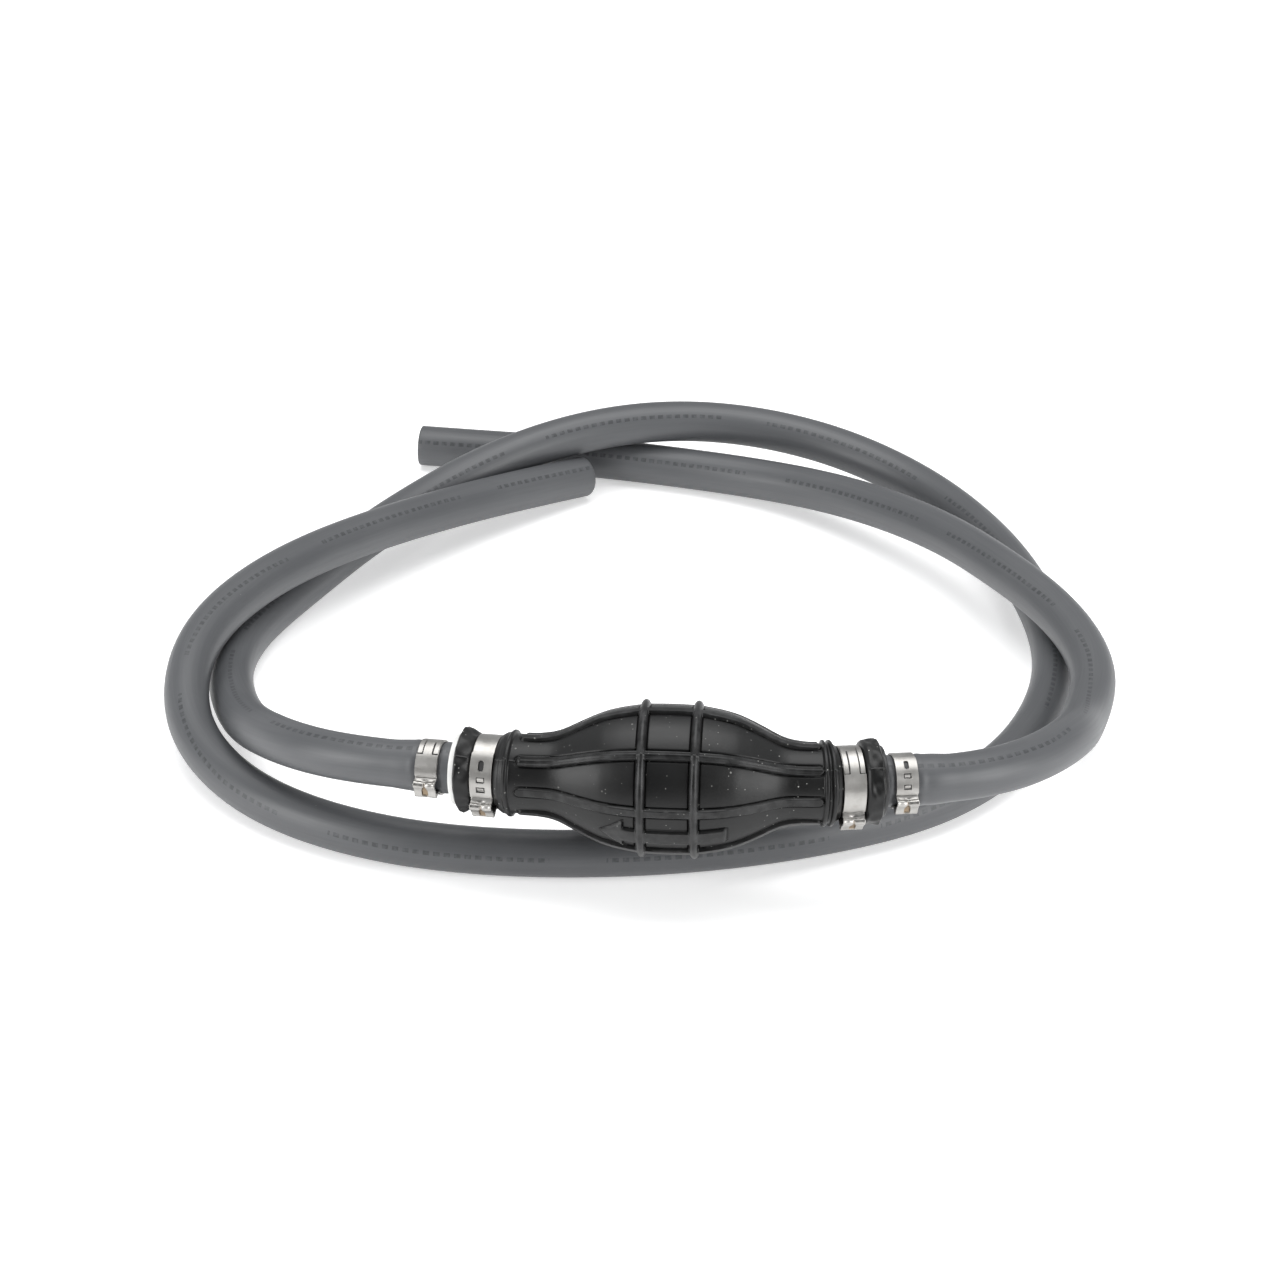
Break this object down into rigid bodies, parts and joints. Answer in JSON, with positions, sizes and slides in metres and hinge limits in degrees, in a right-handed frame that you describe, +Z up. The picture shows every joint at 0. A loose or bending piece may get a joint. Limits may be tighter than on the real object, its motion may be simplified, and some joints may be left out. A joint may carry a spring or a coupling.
{
  "type": "primer bulb hose assembly",
  "caption": "Ribbed rubber squeeze bulb with one-way valves in its necks, clamped between a long and a short bare-ended hose lying in a loose loop.",
  "frame": {"origin": "centre of the bulb, on its axis, midway between the two end fittings", "axes": "+X along the bulb's axis towards the inlet (black) end, +Z up, -Y towards the front of the loop; the hoses lie on the plane z = -0.0416 m"},
  "size_m": [0.3329, 0.3426, 0.0678],
  "materials": {
    "bulb_rubber": "satin moulded rubber",
    "hose_rubber": "satin extruded hose",
    "stainless": "rolled stainless strip",
    "white_plastic": "natural white moulding",
    "black_plastic": "black moulding",
    "seal_rubber": "matte nitrile"
  },
  "bodies": {
    "line": {"bulb_body": "bulb_rubber", "inlet_fitting": "black_plastic", "inlet_valve_seal": "seal_rubber", "inlet_valve_spring": "stainless", "inlet_valve_retainer": "black_plastic", "bulb_clamp_left": "stainless", "hose_clamp_left": "stainless", "outlet_fitting": "white_plastic", "outlet_valve_seat": "black_plastic", "outlet_valve_seal": "seal_rubber", "outlet_valve_spring": "stainless", "bulb_clamp_right": "stainless", "hose_clamp_right": "stainless", "hose_left": "hose_rubber", "hose_right": "hose_rubber"},
    "upper_wall": {"bulb_wall_upper": "bulb_rubber"},
    "lower_wall": {"bulb_wall_lower": "bulb_rubber"},
    "inlet_poppet": {"inlet_valve_poppet": "white_plastic"},
    "outlet_poppet": {"outlet_valve_poppet": "black_plastic"}
  },
  "joints": [
    {"name": "squeeze_upper", "type": "slide", "parent": "line", "child": "upper_wall", "axis": [0, -0.7071, -0.7071], "range_m": [0, 0.01], "stiffness_N_per_m": 1500},
    {"name": "squeeze_lower", "type": "slide", "parent": "line", "child": "lower_wall", "axis": [0, 0.7071, 0.7071], "range_m": [0, 0.01], "stiffness_N_per_m": 1500},
    {"name": "inlet_poppet_slide", "type": "slide", "parent": "line", "child": "inlet_poppet", "axis": [-0.973, -0.2246, 0.0523], "range_m": [0, 0.002], "stiffness_N_per_m": 30, "springref_m": -0.003, "deforming": ["inlet_valve_spring"]},
    {"name": "outlet_poppet_slide", "type": "slide", "parent": "line", "child": "outlet_poppet", "axis": [-0.9835, 0.1734, -0.0523], "range_m": [0, 0.002], "stiffness_N_per_m": 30, "springref_m": -0.003, "deforming": ["outlet_valve_spring"]}
  ],
  "couplings": [
    {"joint": "squeeze_lower", "follows": "squeeze_upper", "ratio": 1}
  ]
}
